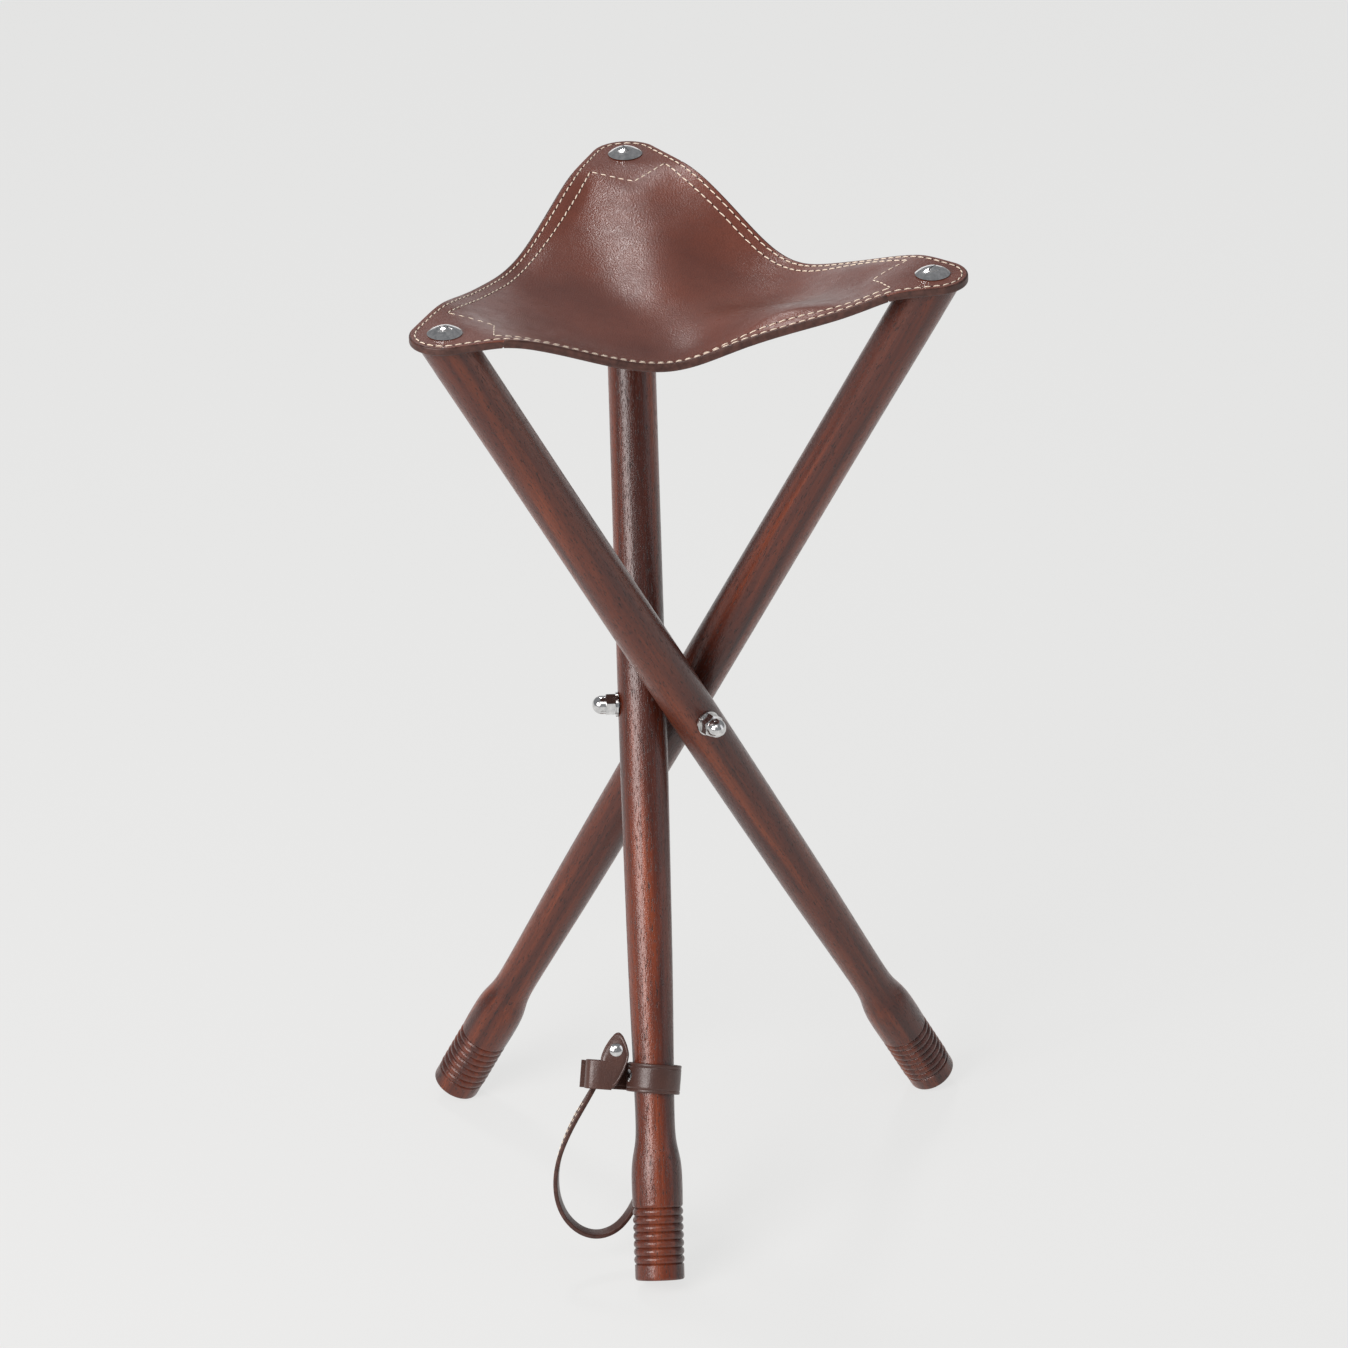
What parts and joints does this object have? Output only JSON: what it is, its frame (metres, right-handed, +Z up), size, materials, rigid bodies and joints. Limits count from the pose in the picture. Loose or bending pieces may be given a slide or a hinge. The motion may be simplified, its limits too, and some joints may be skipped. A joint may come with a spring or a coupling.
{
  "type": "walking stick seat",
  "caption": "Folding walking stick seat: turned wooden legs on a central three-way pivot, with a hanging leather seat screwed to their tops and a closing strap with a wrist loop.",
  "frame": {"origin": "on the floor, in the middle of the open stool's box, with the free wrist loop left out", "axes": "+Z up; the foot with the strap points towards -Y"},
  "size_m": [0.3554, 0.376, 0.6485],
  "materials": {
    "wood": "stained red-brown, gloss varnish",
    "steel": "plain",
    "nickel": "polished nickel",
    "seat_leather": "smooth, satin",
    "lining_leather": "matt underside",
    "strap_leather": "smooth, satin",
    "thread": "waxed cream thread"
  },
  "bodies": {
    "hub": {"pivot_hub": "steel", "spacer_washer_a": "steel", "outer_washer_a": "nickel", "acorn_nut_a": "nickel", "spacer_washer_b": "steel", "outer_washer_b": "nickel", "acorn_nut_b": "nickel", "spacer_washer_c": "steel", "outer_washer_c": "nickel", "acorn_nut_c": "nickel", "seat_leather": "seat_leather"},
    "leg_a": {"leg_a": "wood", "seat_corner_patch_a": "lining_leather", "cup_washer_a": "nickel", "corner_screw_a": "nickel"},
    "leg_b": {"leg_b": "wood", "seat_corner_patch_b": "lining_leather", "cup_washer_b": "nickel", "corner_screw_b": "nickel"},
    "leg_c": {"leg_c": "wood", "seat_corner_patch_c": "lining_leather", "cup_washer_c": "nickel", "corner_screw_c": "nickel"},
    "seat_side_ab": {"seat_side_strip_ab": "lining_leather"},
    "seat_side_bc": {"seat_side_strip_bc": "lining_leather"},
    "seat_side_ca": {"seat_side_strip_ca": "lining_leather"},
    "strap": {"closing_strap": "strap_leather", "strap_rivet": "nickel", "wrist_loop": "strap_leather"},
    "snap_tab": {"snap_tab": "strap_leather", "snap_socket": "nickel", "snap_cap": "nickel"}
  },
  "joints": [
    {"name": "leg_a_fold", "type": "hinge", "parent": "hub", "child": "leg_a", "pos_m": [-0.00058, -0.01778, 0.33104], "axis": [-0.5004, 0.8656, -0.017], "range_deg": [0, 28.56], "deforming": ["seat_corner_patch_a", "seat_leather"]},
    {"name": "leg_b_fold", "type": "hinge", "parent": "hub", "child": "leg_b", "pos_m": [-0.03233, 0.00056, 0.33147], "axis": [0.9993, -0.0007, -0.0373], "range_deg": [0, 22.96], "deforming": ["seat_corner_patch_b"]},
    {"name": "leg_c_fold", "type": "hinge", "parent": "hub", "child": "leg_c", "pos_m": [-0.00061, 0.01886, 0.32954], "axis": [-0.4989, -0.865, 0.0543], "range_deg": [0, 25.25], "deforming": ["seat_corner_patch_c"]},
    {"name": "seat_side_ab_fold", "type": "hinge", "parent": "hub", "child": "seat_side_ab", "pos_m": [-0.01354, 0.01091, 0.59943], "axis": [-0.0216, 0.8505, 0.5256], "range_deg": [0, 74.08], "deforming": ["seat_side_strip_ab"]},
    {"name": "seat_side_bc_fold", "type": "hinge", "parent": "hub", "child": "seat_side_bc", "pos_m": [0.00534, 0.01488, 0.60527], "axis": [0.6452, -0.4931, 0.5837], "range_deg": [0, 69.04], "deforming": ["seat_side_strip_bc"]},
    {"name": "seat_side_ca_fold", "type": "hinge", "parent": "hub", "child": "seat_side_ca", "pos_m": [-0.00791, 0.0017, 0.60189], "axis": [-0.7603, -0.2513, 0.5991], "range_deg": [0, 70.37], "deforming": ["seat_side_strip_ca"]},
    {"name": "strap_turn", "type": "hinge", "parent": "leg_b", "child": "strap", "pos_m": [-0.04029, -0.11348, 0.11999], "axis": [0.0331, 0.4744, 0.8797], "range_deg": [-30, 30]},
    {"name": "snap_tab_open", "type": "hinge", "parent": "strap", "child": "snap_tab", "pos_m": [-0.08308, -0.11119, 0.1255], "axis": [-0.1374, -0.4701, -0.8718], "range_deg": [0, 100]}
  ],
  "couplings": [
    {"joint": "leg_b_fold", "follows": "leg_a_fold", "ratio": 0.80392},
    {"joint": "leg_c_fold", "follows": "leg_a_fold", "ratio": 0.8841},
    {"joint": "seat_side_ab_fold", "follows": "leg_a_fold", "ratio": 2.5938},
    {"joint": "seat_side_bc_fold", "follows": "leg_a_fold", "ratio": 2.4174},
    {"joint": "seat_side_ca_fold", "follows": "leg_a_fold", "ratio": 2.4639}
  ]
}
